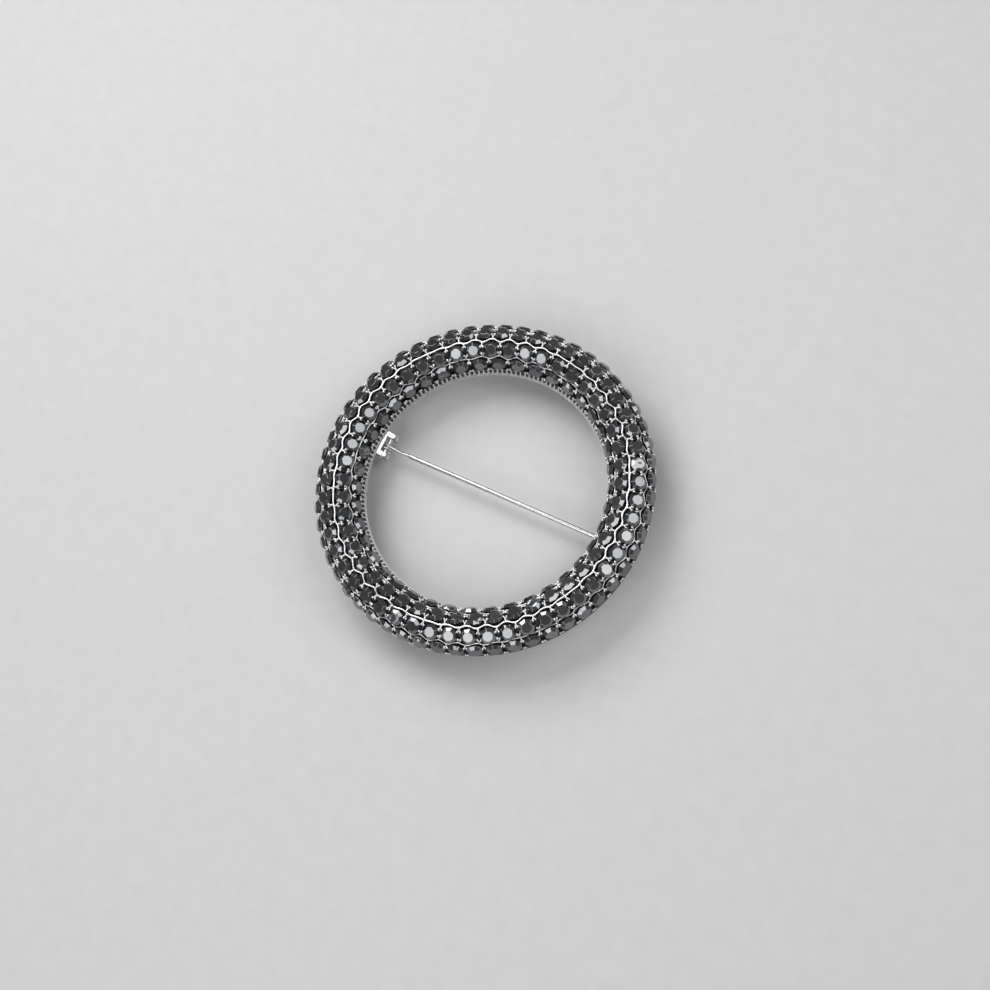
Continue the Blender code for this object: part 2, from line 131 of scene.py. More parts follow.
# Cement in the channels, as heights over their floor; its near-black colour is painted shade between the
# stones.
BED_HALF_ANGLE = math.radians(17.0)
BED_LEVELS = (0.02 * MM, 0.62 * MM)
BED_STEPS = 6
BED_TURN_STEPS = 240

# Rim: grains down its sloping side, and a ledge along its foot.
RIM_BELOW = 1.0 * MM
RIM_BEYOND = 3.1 * MM
MILGRAIN_PITCH = 0.7 * MM
MILGRAIN_RADIUS = 0.17 * MM
MILGRAIN_SHARES = (0.1, 0.52)
LEDGE_ROOT = 0.2 * MM
LEDGE_REACH = 0.1 * MM
LEDGE_FOOT = 0.13 * MM
LEDGE_THICKNESS = 0.08 * MM
LEDGE_EDGE = 0.015 * MM

# Rails: the rows on their inner and outer sides, half thickness, height over the section's centre, the length
# and root of their prongs' arms, and the size of the prongs' beads.
Rail = namedtuple("Rail", "low_row high_row half height length root bead")
RAILS = {
    "crown": Rail("inner_main", "outer_main", 0.16 * MM, 3.28 * MM, 0.5 * MM, 0.19 * MM, 0.185 * MM),
    "inner": Rail("inner_flank", "inner_main", 0.11 * MM, 3.08 * MM, 0.34 * MM, 0.15 * MM, 0.2 * MM),
    "outer": Rail("outer_main", "outer_flank", 0.11 * MM, 3.08 * MM, 0.34 * MM, 0.15 * MM, 0.2 * MM),
}
RAIL_STEPS = 960
RAIL_TOP_STEPS = 6
RAIL_BURIED = 0.1 * MM
RAIL_ANGLE = math.radians(60.0)
WEAVE = 0.25 * MM

# Prongs: an arm that forks into two tines, each with a bead. An arm's stations are shares of its length, of
# its root below the top, and of its thickness. The ranges are shares, drawn for each prong.
RIM_PRONG = (3.14 * MM, 0.3 * MM, 0.15 * MM, 0.2 * MM)
RIM_LEAN = math.radians(95.0)
ARM_TIP = 0.11 * MM
ARM_STATIONS = ((0.0, 1.0, 1.0), (0.5, 0.4, 0.6), (1.0, 0.0, 0.1))
ARM_SIDES = 8
ARM_RANGE = (0.85, 1.15)
ARM_SWAY = 0.05 * MM
FORK_SHARE = 0.8
TINE_LENGTH = 0.26 * MM
TINE_SHARES = (1.0, 0.9, 0.8)
TINE_SIDES = 6
TINE_RANGE = (0.7, 1.1)
BEAD_SPREAD = 0.19 * MM
BEAD_SPREAD_RANGE = (0.75, 1.25)
BEAD_LIFT = 0.06 * MM
BEAD_RANGE = (0.75, 1.15)
BEAD_STRETCH = 1.1

# Pin: a wire coiled round the rivet, leading into a thin shank and then the full wire.
WIRE_RADIUS = 0.35 * MM
SHANK_RADIUS = 0.2 * MM
SHANK_END = 3.4 * MM
SHANK_TAPER = 0.8 * MM
POINT_LENGTH = 2.6 * MM
COIL_RADIUS = 0.7 * MM
COIL_PITCH = 0.48 * MM
COIL_TURNS = 2
COIL_EXIT = 0.1 * MM
COIL_STEPS = 24
COIL_START = 0.3
LEAD_LENGTH = 3.2 * MM
LEAD_STEPS = 10
WIRE_SIDES = 24
# Swell from the shank to the full wire, and taper to the point, as shares of their length and of the wire.
SHANK_SWELL = 1.12
SWELL_SHARE = 0.94
POINT_TAPER = ((1.0, 1.0), (0.75, 0.92), (0.5, 0.74), (0.25, 0.46), (0.06, 0.2), (0.0, 0.08))

# Findings of the hinge and the catch, with their edges rounded over.
FINDINGS = ("hinge_body", "hinge_rivet", "catch_body", "catch_rotor")
FINDING_EDGE = 0.06 * MM
FINDING_EDGE_STEPS = 3
FINDING_CORNER = math.radians(40.0)
FINDING_FLAT = math.radians(1.0)
FINDING_MERGE = 1e-6

# The camera looks down at the ring: its own back and right directions, its distance and the shift of its aim.
CAMERA_BACK = Vector((0.318, -0.198, 0.927)).normalized()
CAMERA_RIGHT = Vector((0.870, 0.450, -0.203))
CAMERA_RIGHT = (CAMERA_RIGHT - CAMERA_BACK * CAMERA_RIGHT.dot(CAMERA_BACK)).normalized()
CAMERA_DISTANCE_RADII = 12.0
CAMERA_SHIFT_RADII = (0.066, -0.038)
CAMERA_FIELD = math.radians(30.9)
CAMERA_SENSOR = 36.0
CAMERA_CLIP = (0.001, 50.0)

# Soft studio light: azimuth and elevation in degrees and radiance of three square softboxes, alike in size.
SOFTBOXES = {
    "key_softbox": (150.0, 50.0, 5.0),
    "fill_softbox": (30.0, 50.0, 2.5),
    "front_softbox": (270.0, 50.0, 2.5),
}
SOFTBOX_DISTANCE_RADII = 14.0
SOFTBOX_SIDE_RADII = 9.0
ROOM_GREY = 0.22
FLOOR_HALF = 3.0
FLOOR_GAP = 0.2 * MM


# ---------------------------------------------------------------- mesh helpers


def make_object(name, verts, faces, materials, smooth=True, sharp_angle=None):
    mesh = bpy.data.meshes.new(name)
    mesh.from_pydata([tuple(v) for v in verts], [], [tuple(f) for f in faces])
    mesh.update()
    for material in materials:
        mesh.materials.append(material)
    if smooth:
        mesh.shade_smooth()
        if sharp_angle is not None:
            mesh.set_sharp_from_angle(angle=sharp_angle)
    obj = bpy.data.objects.new(name, mesh)
    bpy.context.scene.collection.objects.link(obj)
    return obj


class Builder:
    """Collects the vertices and faces of many small closed shapes for one piece."""

    def __init__(self):
        self.verts = []
        self.faces = []

    def add(self, verts, faces):
        start = len(self.verts)
        self.verts.extend(verts)
        self.faces.extend(tuple(start + index for index in face) for face in faces)

    def build(self, name, materials, **shading):
        return make_object(name, self.verts, self.faces, materials, **shading)


def ball_template(subdivisions):
    bm = bmesh.new()
    bmesh.ops.create_icosphere(bm, subdivisions=subdivisions, radius=1.0)
    verts = np.array([v.co for v in bm.verts])
    faces = [tuple(v.index for v in face.verts) for face in bm.faces]
    bm.free()
    return verts, faces


BALL = ball_template(2)


def add_ball(builder, centre, axes, radii):
    """An ellipsoid: axes are three unit vectors, radii its half lengths along them."""
    verts, faces = BALL
    shaped = verts * np.array(radii)
    builder.add(shaped @ np.array(axes) + np.array(centre), faces)


def add_tube(builder, points, radii, up, sides):
    """A tube through the points with round closed ends; up is a vector that is never along it."""
    points = np.array(points, float)
    rings = []
    count = len(points)
    for index in range(count):
        ahead = points[min(index + 1, count - 1)] - points[max(index - 1, 0)]
        ahead = ahead / np.linalg.norm(ahead)
        side = np.cross(ahead, up)
        side = side / np.linalg.norm(side)
        top = np.cross(side, ahead)
        turns = np.arange(sides) * math.tau / sides
        ring = points[index] + radii[index] * (
            np.outer(np.cos(turns), side) + np.outer(np.sin(turns), top)
        )
        rings.append(ring)
    verts = np.concatenate(rings)
    faces = []
    for index in range(count - 1):
        low, high = index * sides, (index + 1) * sides
        for k in range(sides):
            after = (k + 1) % sides
            faces.append((low + after, low + k, high + k, high + after))
    faces.append(tuple(range(sides)))
    faces.append(tuple(reversed(range((count - 1) * sides, count * sides))))
    builder.add(verts, faces)


# ---------------------------------------------------------------- reading the frame


def section_reach(point):
    """Distance of a point from the line, inside the ring, round which its section is drawn."""
    return math.hypot(math.hypot(point[0], point[1]) - RING_RADIUS, point[2] - SECTION_LIFT)


def face_islands(faces):
    """The connected parts of a set of faces, each in the order of the faces' own numbers."""
    waiting = set(faces)
    islands = []
    while waiting:
        island, open_faces = [], [waiting.pop()]
        while open_faces:
            face = open_faces.pop()
            island.append(face)
            for edge in face.edges:
                for other in edge.link_faces:
                    if other in waiting:
                        waiting.remove(other)
                        open_faces.append(other)
        islands.append(sorted(island, key=lambda face: face.index))
    return islands


def stone_seats(node):
    """Table centre and outward normal of every stone in a CAD node, in order round the ring."""
    bm = bmesh.new()
    bm.from_mesh(frame["nodes"][node].data)
    bmesh.ops.remove_doubles(bm, verts=bm.verts, dist=SAME_CORNER)
    bm.faces.index_update()
    tables = [f for f in bm.faces if min(section_reach(v.co) for v in f.verts) > TABLE_REACH]
    seats = []
    for island in face_islands(tables):
        area = sum(face.calc_area() for face in island)
        centre = sum((f.calc_center_median() * f.calc_area() for f in island), Vector()) / area
        normal = sum((f.normal * f.calc_area() for f in island), Vector()).normalized()
        seats.append((np.array(centre), np.array(normal)))
    bm.free()
    seats.sort(key=lambda seat: math.atan2(seat[0][1], seat[0][0]) % math.tau)
    return seats


def shell_section():
    """The shell's own closed section, read off the CAD node at azimuth zero, in order."""
    mesh = frame["nodes"]["ring_shell"].data
    bm = bmesh.new()
    bm.from_mesh(mesh)
    bmesh.ops.remove_doubles(bm, verts=bm.verts, dist=SAME_CORNER)
    on_plane = [v for v in bm.verts if abs(v.co.y) < ON_PLANE and v.co.x > 0]
    chosen = set(on_plane)
    start = max(on_plane, key=lambda v: v.co.x)
    loop, before, here = [start], None, start
    while True:
        ahead = [
            e.other_vert(here)
            for e in here.link_edges
            if e.other_vert(here) in chosen and e.other_vert(here) is not before
        ]
        before, here = here, ahead[0]
        if here is start:
            break
        loop.append(here)
    points = [(v.co.x, v.co.z) for v in loop]
    bm.free()
    return points


SEATS = {
    (row, sector): stone_seats(f"stones_{row}_{sector}")
    for row in ROWS
    for sector in range(1, SECTORS + 1)
}


def ring_point(distance, lean, azimuth):
    """A point of the ring, at a distance from the section's centre, leaning out from upright."""
    radius = RING_RADIUS + distance * math.sin(lean)
    return np.array(
        [
            radius * math.cos(azimuth),
            radius * math.sin(azimuth),
            SECTION_LIFT + distance * math.cos(lean),
        ]
    )


def ring_axes(lean, azimuth):
    """Unit vectors there: along the ring, down the section, and straight out."""
    outward = np.array([math.cos(azimuth), math.sin(azimuth), 0.0])
    up = np.array([0.0, 0.0, 1.0])
    along = np.array([-math.sin(azimuth), math.cos(azimuth), 0.0])
    normal = math.sin(lean) * outward + math.cos(lean) * up
    down = math.cos(lean) * outward - math.sin(lean) * up
    return along, down, normal


def row_azimuths(row):
    seats = [seat for sector in range(1, SECTORS + 1) for seat in SEATS[row, sector]]
    return sorted(math.atan2(centre[1], centre[0]) % math.tau for centre, _ in seats)


def row_lean(row):
    leans = []
    for sector in range(1, SECTORS + 1):
        for centre, normal in SEATS[row, sector]:
            azimuth = math.atan2(centre[1], centre[0])
            outward = np.array([math.cos(azimuth), math.sin(azimuth), 0.0])
            leans.append(math.atan2(float(normal @ outward), float(normal[2])))
    return sum(leans) / len(leans)


AZIMUTHS = {row: row_azimuths(row) for row in ROWS}
LEANS = {row: row_lean(row) for row in ROWS}


def row_phase(row, azimuth):
    """0 over the centre of a stone of the row, 0.5 in the middle of a gap."""
    places = AZIMUTHS[row]
    azimuth = azimuth % math.tau
    index = int(np.searchsorted(places, azimuth))
    before = places[index - 1] - (math.tau if index == 0 else 0.0)
    after = places[index % len(places)] + (math.tau if index == len(places) else 0.0)
    return (azimuth - before) / (after - before)


def row_gaps(row):
    """Azimuths halfway between neighbouring stones of a row."""
    places = AZIMUTHS[row]
    following = places[1:] + [places[0] + math.tau]
    return [(a + b) / 2 for a, b in zip(places, following)]


# ---------------------------------------------------------------- materials


def new_material(name):
    material = bpy.data.materials.new(name)
    material.use_nodes = True
    nodes = material.node_tree.nodes
    shader = nodes["Principled BSDF"]
    return material, nodes, material.node_tree.links, shader


def add_noise(nodes, links, scale, detail=3.0, stretch=(1.0, 1.0, 1.0)):
    """Noise in the object's own metres, stretched along the axes."""
    where = nodes.new("ShaderNodeTexCoord")
    mapping = nodes.new("ShaderNodeMapping")
    mapping.inputs["Scale"].default_value = stretch
    noise = nodes.new("ShaderNodeTexNoise")
    noise.inputs["Scale"].default_value = scale
    noise.inputs["Detail"].default_value = detail
    links.new(where.outputs["Object"], mapping.inputs["Vector"])
    links.new(mapping.outputs["Vector"], noise.inputs["Vector"])
    return noise.outputs["Fac"]


def add_range(nodes, links, value, low, high, from_low=0.3, from_high=0.7):
    spread = nodes.new("ShaderNodeMapRange")
    spread.inputs["From Min"].default_value = from_low
    spread.inputs["From Max"].default_value = from_high
    spread.inputs["To Min"].default_value = low
    spread.inputs["To Max"].default_value = high
    links.new(value, spread.inputs["Value"])
    return spread.outputs["Result"]


def add_mix(nodes, links, factor, first, second):
    mix = nodes.new("ShaderNodeMix")
    mix.data_type = "RGBA"
    links.new(factor, mix.inputs["Factor"])
    mix.inputs["A"].default_value = (*first, 1.0)
    mix.inputs["B"].default_value = (*second, 1.0)
    return mix.outputs["Result"]


def add_bump(nodes, links, shader, height, distance, strength):
    bump = nodes.new("ShaderNodeBump")
    bump.inputs["Distance"].default_value = distance
    bump.inputs["Strength"].default_value = strength
    links.new(height, bump.inputs["Height"])
    links.new(bump.outputs["Normal"], shader.inputs["Normal"])


def silver_material():
    """Bright plating of the rails, prongs and beads, a little uneven from the casting."""
    material, nodes, links, shader = new_material("bright_plating")
    shader.inputs["Metallic"].default_value = 1.0
    cast = add_noise(nodes, links, scale=2600.0, detail=4.0)
    share = add_range(nodes, links, cast, 0.0, 1.0)
    colour = add_mix(nodes, links, share, first=(0.74, 0.74, 0.75), second=(0.88, 0.875, 0.87))
    links.new(colour, shader.inputs["Base Color"])
    rough = add_noise(nodes, links, scale=5200.0)
    links.new(add_range(nodes, links, rough, low=0.2, high=0.34), shader.inputs["Roughness"])
    add_bump(nodes, links, shader, cast, distance=0.02 * MM, strength=0.5)
    return material


def gunmetal_shade_material():
    """Dark plating of the casting, clouded and finely grained; kept near black as painted shade, so the body
    between and under the stones reads dark against the bright rails.
    """
    material, nodes, links, shader = new_material("gunmetal_plating")
    shader.inputs["Metallic"].default_value = 1.0
    cloud = add_noise(nodes, links, scale=1500.0, detail=5.0)
    share = add_range(nodes, links, cloud, 0.0, 1.0)
    # Near-black colours: partly the plating's own tone, partly painted shade of the recesses between the
    # stones.
    colour = add_mix(nodes, links, share, first=(0.05, 0.05, 0.055), second=(0.13, 0.13, 0.135))
    links.new(colour, shader.inputs["Base Color"])
    grain = add_noise(nodes, links, scale=9000.0, detail=2.0)
    links.new(add_range(nodes, links, grain, low=0.24, high=0.42), shader.inputs["Roughness"])
    add_bump(nodes, links, shader, grain, distance=0.01 * MM, strength=0.35)
    return material


def steel_material():
    """Polished steel of the findings, with faint drawing lines along the pin."""
    material, nodes, links, shader = new_material("polished_steel")
    shader.inputs["Metallic"].default_value = 1.0
    drawn = add_noise(nodes, links, scale=1600.0, detail=2.0, stretch=(0.03, 1.0, 1.0))
    share = add_range(nodes, links, drawn, 0.0, 1.0)
    colour = add_mix(nodes, links, share, first=(0.60, 0.60, 0.61), second=(0.72, 0.72, 0.72))
    links.new(colour, shader.inputs["Base Color"])
    links.new(add_range(nodes, links, drawn, low=0.2, high=0.28), shader.inputs["Roughness"])
    add_bump(nodes, links, shader, drawn, distance=0.004 * MM, strength=0.15)
    return material


def cement_shade_material():
    """Black setting cement under the stones, darkened to near black as painted shade in the gaps between
    them.
    """
    material, nodes, links, shader = new_material("setting_cement")
    lumps = add_noise(nodes, links, scale=2200.0, detail=4.0)
    share = add_range(nodes, links, lumps, 0.0, 1.0)
    # Near-black colours: painted shade in the gaps between the stones, on the cement under them.
    colour = add_mix(nodes, links, share, first=(0.006, 0.006, 0.007), second=(0.03, 0.03, 0.032))
    links.new(colour, shader.inputs["Base Color"])
    links.new(add_range(nodes, links, lumps, low=0.35, high=0.7), shader.inputs["Roughness"])
    add_bump(nodes, links, shader, lumps, distance=0.05 * MM, strength=0.6)
    return material


def jet_material():
    """Black glass with a hematite mirror coat; each stone has its own tone."""
    material, nodes, links, shader = new_material("jet_hematite")
    shader.inputs["Metallic"].default_value = 1.0
    tone = nodes.new("ShaderNodeAttribute")
    tone.attribute_name = "tone"
    share = tone.outputs["Fac"]
    colour = add_mix(nodes, links, share, first=(0.17, 0.175, 0.185), second=(0.24, 0.245, 0.25))
    links.new(colour, shader.inputs["Base Color"])
    haze = add_noise(nodes, links, scale=1800.0)
    links.new(add_range(nodes, links, haze, low=0.03, high=0.085), shader.inputs["Roughness"])
    wave = add_noise(nodes, links, scale=700.0, detail=1.0)
    add_bump(nodes, links, shader, wave, distance=0.05 * MM, strength=0.55)
    return material


# ---------------------------------------------------------------- pieces


def stone_rings():
    """Radii and heights of a chaton's corners, from the culet up, with the table at height zero."""
    girdle = -CROWN_HEIGHT
    return (
        (CULET_RADIUS, girdle - PAVILION_DEPTH),
        (GIRDLE_RADIUS, girdle - GIRDLE_THICKNESS),
        (GIRDLE_RADIUS, girdle),
        (TABLE_RADIUS, 0.0),
    )


def build_chatons(row, sector, material, chance):
    """One run of separate stones, which stands for the same run in the CAD."""
    verts, faces, tones = [], [], []
    for centre, normal in SEATS[row, sector]:
        tilt = Matrix.Rotation(chance.uniform(-1, 1) * TILT_JITTER, 3, "X") @ Matrix.Rotation(
            chance.uniform(-1, 1) * TILT_JITTER, 3, "Y"
        )
        spin = chance.uniform(0.0, math.tau / STONE_SIDES)
        size = 1.0 + chance.uniform(-1, 1) * SIZE_JITTER
        rise = chance.uniform(-1, 1) * SEAT_JITTER
        tone = chance.random()
        place = Vector(normal).to_track_quat("Z", "Y").to_matrix() @ tilt
        start = len(verts)
        rings = stone_rings()
        for radius, height in rings:
            for side in range(STONE_SIDES):
                turn = spin + math.tau * side / STONE_SIDES
                corner = Vector((radius * math.cos(turn), radius * math.sin(turn), height)) * size
                verts.append(Vector(centre) + Vector(normal) * rise + place @ corner)
                tones.append(tone)
        for level in range(len(rings) - 1):
            low = start + level * STONE_SIDES
            high = low + STONE_SIDES
            for side in range(STONE_SIDES):
                after = (side + 1) % STONE_SIDES
                faces.append((low + side, low + after, high + after, high + side))
        top = start + (len(rings) - 1) * STONE_SIDES
        faces.append(tuple(range(top, top + STONE_SIDES)))
        faces.append(tuple(reversed(range(start, start + STONE_SIDES))))
    obj = make_object(f"chatons_{row}_{sector}", verts, faces, [material], smooth=False)
    attribute = obj.data.attributes.new("tone", "FLOAT", "POINT")
    attribute.data.foreach_set("value", tones)
    bevel = obj.modifiers.new("facet_edges", "BEVEL")
    bevel.width = FACET_BEVEL
    bevel.segments = 1
    bevel.limit_method = "ANGLE"
    bevel.angle_limit = FACET_ANGLE
    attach(obj, "ring")
    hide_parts(f"stones_{row}_{sector}")


def turn_section(name, points, steps, materials):
    """A closed section turned round the ring's axis."""
    count = len(points)
    verts = []
    for step in range(steps):
        azimuth = math.tau * step / steps
        for radius, height in points:
            verts.append((radius * math.cos(azimuth), radius * math.sin(azimuth), height))
    faces = []
    for step in range(steps):
        here, after = step * count, ((step + 1) % steps) * count
        for k in range(count):
            following = (k + 1) % count
            faces.append((here + k, after + k, after + following, here + following))
    obj = make_object(name, verts, faces, materials, sharp_angle=TURNED_ANGLE)
    bm = bmesh.new()
    bm.from_mesh(obj.data)
    bmesh.ops.recalc_face_normals(bm, faces=bm.faces)
    bm.to_mesh(obj.data)
    bm.free()
    return obj


def soften_corners(points, reach):
    """Cut each corner of a closed outline, so that its edges read as rounded."""
    made = []
    count = len(points)
    for index in range(count):
        here = np.array(points[index])
        for other in (points[index - 1], points[(index + 1) % count]):
            way = np.array(other) - here
            length = np.linalg.norm(way)
            step = min(reach, length * CORNER_SHARE)
            made.append(tuple(here + way / length * step))
    return made


def build_casting(material):
    """The ring's body: the shell's section with its rails cut down. Returns the channel floor's distance."""
    outline = shell_section()
    section = [(radius, height, section_reach((radius, 0.0, height))) for radius, height in outline]
    floor = min(reach for _, height, reach in section if height > SECTION_LIFT and reach > CHANNEL_LEAST)
    wall = RING_RADIUS + RECESS_HALF_WIDTH
    kept = []
    for radius, height, reach in section:
        if height > SECTION_LIFT + RAIL_LEAST and reach > floor + RAIL_LEAST:
            continue
        if radius > wall:
            radius = wall + (radius - wall) * OUTER_RIM_SHARE
        kept.append((radius, height))
    for reach in CAST_ROUNDING:
        kept = soften_corners(kept, reach)
    obj = turn_section("ring_casting", kept, TURN_STEPS, [material])
    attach(obj, "ring")
    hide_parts("ring_shell")
    return floor


def rail_lean(rail, azimuth):
    """Where a rail runs: between its two rows, bowing away from whichever stone is abreast of it."""
    middle = (LEANS[rail.low_row] + LEANS[rail.high_row]) / 2
    low = math.cos(math.tau * row_phase(rail.low_row, azimuth))
    high = math.cos(math.tau * row_phase(rail.high_row, azimuth))
    return middle + (low - high) / 2 * WEAVE / rail.height


def build_rail(name, floor, material):
    """One rail: a thin cast wall with a round polished top that weaves between two rows of stones."""
    rail = RAILS[name]
    half = rail.half
    foot = floor - RAIL_BURIED
    outline = [(-half, None), (-half, -half)]
    for step in range(1, RAIL_TOP_STEPS):
        turn = math.pi * step / RAIL_TOP_STEPS
        outline.append((-half * math.cos(turn), half * (math.sin(turn) - 1.0)))
    outline += [(half, -half), (half, None)]
    verts = []
    for step in range(RAIL_STEPS):
        azimuth = math.tau * step / RAIL_STEPS
        lean = rail_lean(rail, azimuth)
        for across, below in outline:
            distance = foot if below is None else rail.height + below
            verts.append(ring_point(distance, lean + across / distance, azimuth))
    count = len(outline)
    faces = []
    for step in range(RAIL_STEPS):
        here, after = step * count, ((step + 1) % RAIL_STEPS) * count
        for k in range(count):
            following = (k + 1) % count
            faces.append((here + k, here + following, after + following, after + k))
    obj = make_object(f"rail_{name}", verts, faces, [material], sharp_angle=RAIL_ANGLE)
    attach(obj, "ring")


def add_prong(builder, root_lean, way, azimuth, sizes, chance):
    """An arm from a rail into the gap between two stones, forked into two beads over their girdles."""
    height, length, root, bead = sizes
    reach = way * length * chance.uniform(*ARM_RANGE) / height
    sway = chance.uniform(-ARM_SWAY, ARM_SWAY) / RING_RADIUS
    along = ring_axes(root_lean, azimuth)[0]
    points, radii = [], []
    for share, sunk, thick in ARM_STATIONS:
        points.append(ring_point(height - sunk * root, root_lean + reach * share, azimuth + sway * share))
        radii.append(ARM_TIP + (root - ARM_TIP) * thick)
    add_tube(builder, points, radii, along, ARM_SIDES)
    fork = ring_point(height, root_lean + reach * FORK_SHARE, azimuth + sway)
    for hand in (-1, 1):
        further = way * TINE_LENGTH * chance.uniform(*TINE_RANGE) / height
        lean = root_lean + reach + further
        spread = hand * BEAD_SPREAD * chance.uniform(*BEAD_SPREAD_RANGE)
        where = ring_point(height + BEAD_LIFT, lean, azimuth + sway) + along * spread
        axes = ring_axes(lean, azimuth)
        taper = [ARM_TIP * share for share in TINE_SHARES]
        add_tube(builder, [fork, (fork + where) / 2, where], taper, axes[2], TINE_SIDES)
        size = bead * chance.uniform(*BEAD_RANGE)
        add_ball(builder, where, axes, (size, size * BEAD_STRETCH, size))


def build_rail_prongs(name, material, chance):
    """All the prongs that spring from one rail, into the gaps of the rows on both its sides."""
    rail = RAILS[name]
    sizes = (rail.height, rail.length, rail.root, rail.bead)
    builder = Builder()
    for row, way in ((rail.low_row, -1), (rail.high_row, 1)):
        for azimuth in row_gaps(row):
            add_prong(builder, rail_lean(rail, azimuth), way, azimuth, sizes, chance)
    obj = builder.build(f"prongs_{name}_rail", [material])
    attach(obj, "ring")


def build_rim_prongs(name, row, side, material, chance):
    """Prongs that rise from the rim's shoulder into the gaps of a flank row."""
    builder = Builder()
    for azimuth in row_gaps(row):
        add_prong(builder, side * RIM_LEAN, -side, azimuth, RIM_PRONG, chance)
    obj = builder.build(name, [material])
    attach(obj, "ring")


def rim_outline(side):
    """Top and widest corner of a rim's sloping side, as radius and height."""
    beyond = [corner for corner in shell_section() if side * (corner[0] - RING_RADIUS) > RIM_BEYOND]
    corners = [corner for corner in beyond if corner[1] < RIM_BELOW]
    high = max(corners, key=lambda p: p[1])
    wide = max(corners, key=lambda p: side * p[0])
    return high, wide


def build_milgrain(name, side, material):
    """Pairs of grains along the sloping side of a rim, one above the other."""
    high, wide = rim_outline(side)
    builder = Builder()
    count = round(math.tau * high[0] / MILGRAIN_PITCH)
    for index in range(count):
        azimuth = math.tau * index / count
        along, outward, up = ring_axes(0.0, azimuth)
        for share in MILGRAIN_SHARES:
            radius = high[0] + (wide[0] - high[0]) * share
            height = high[1] + (wide[1] - high[1]) * share
            centre = outward * radius + up * height
            add_ball(builder, centre, (along, outward, up), [MILGRAIN_RADIUS] * 3)
    obj = builder.build(name, [material])
    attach(obj, "ring")


def build_rim_ledge(name, side, material):
    """The polished slant that runs along the foot of a rim, below the grains."""
    wide = rim_outline(side)[1][0]
    top = wide - side * LEDGE_ROOT
    toe = wide + side * LEDGE_REACH
    drop = abs(toe - top)
    outline = [
        (top, LEDGE_FOOT + drop),
        (toe, LEDGE_FOOT),
        (toe, LEDGE_FOOT - LEDGE_THICKNESS),
        (top, LEDGE_FOOT - LEDGE_THICKNESS),
    ]
    obj = turn_section(name, soften_corners(outline, LEDGE_EDGE), TURN_STEPS, [material])
    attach(obj, "ring")


def build_bed(row, floor, material):
    """The cement in one channel, seen only between the stones, near black as painted shade in those gaps."""
    low, high = floor + BED_LEVELS[0], floor + BED_LEVELS[1]
    start = LEANS[row] - BED_HALF_ANGLE
    leans = [start + 2 * BED_HALF_ANGLE * step / BED_STEPS for step in range(BED_STEPS + 1)]
    outline = [(high, lean) for lean in leans]
    outline += [(low, lean) for lean in reversed(leans)]
    points = [
        (RING_RADIUS + d * math.sin(a), SECTION_LIFT + d * math.cos(a)) for d, a in outline
    ]
    obj = turn_section(f"cement_shade_bed_{row}", points, BED_TURN_STEPS, [material])
    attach(obj, "ring")


def joint_place(name):
    """Where a joint of the frame has its axis."""
    for joint in frame["joints"]:
        if joint["name"] == name:
            return np.array(joint["pos_m"])
    raise KeyError(name)


def pin_path(pivot, tip):
    """Centre line and thickness of the pin, from the loose end of its coil to its point."""
    points, radii = [], []
    steps = COIL_TURNS * COIL_STEPS
    for step in range(round(COIL_STEPS * COIL_START), steps + 1):
        turn = math.tau * step / COIL_STEPS
        side = COIL_PITCH * (step / COIL_STEPS - COIL_TURNS) + COIL_EXIT
        points.append(
            pivot + np.array([COIL_RADIUS * math.sin(turn), side, COIL_RADIUS * math.cos(turn)])
        )
        radii.append(SHANK_RADIUS)
    for step in range(1, LEAD_STEPS + 1):
        share = step / LEAD_STEPS
        fall = 1.0 - share * share * (3.0 - 2.0 * share)
        points.append(pivot + np.array([LEAD_LENGTH * share, COIL_EXIT * fall, COIL_RADIUS * fall]))
        radii.append(SHANK_RADIUS)
    length = tip - pivot[0]
    stations = [
        (SHANK_END, SHANK_RADIUS),
        (SHANK_END + 0.3 * SHANK_TAPER, SHANK_RADIUS * SHANK_SWELL),
        (SHANK_END + 0.7 * SHANK_TAPER, WIRE_RADIUS * SWELL_SHARE),
        (SHANK_END + SHANK_TAPER, WIRE_RADIUS),
    ]
    stations += [(length - left * POINT_LENGTH, WIRE_RADIUS * share) for left, share in POINT_TAPER]
    for along, radius in stations:
        points.append(pivot + np.array([along, 0.0, 0.0]))
        radii.append(radius)
    return points, radii


def build_pin(material):
    """The pin: one wire, coiled round the rivet, thin as far as its shank and then full to the point."""
    builder = Builder()
    pivot = joint_place("pin_hinge")
    points, radii = pin_path(pivot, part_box("pin_stem")[1].x)
    add_tube(builder, points, radii, (0.0, 1.0, 0.0), WIRE_SIDES)
    obj = builder.build("pin_wire", [material], sharp_angle=RAIL_ANGLE)
    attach(obj, "pin")
    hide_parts("pin_stem")


def from_lowest(corners):
    """The same face, told from its lowest corner on, so that it reads the same on each run."""
    start = corners.index(min(corners))
    return corners[start:] + corners[:start]


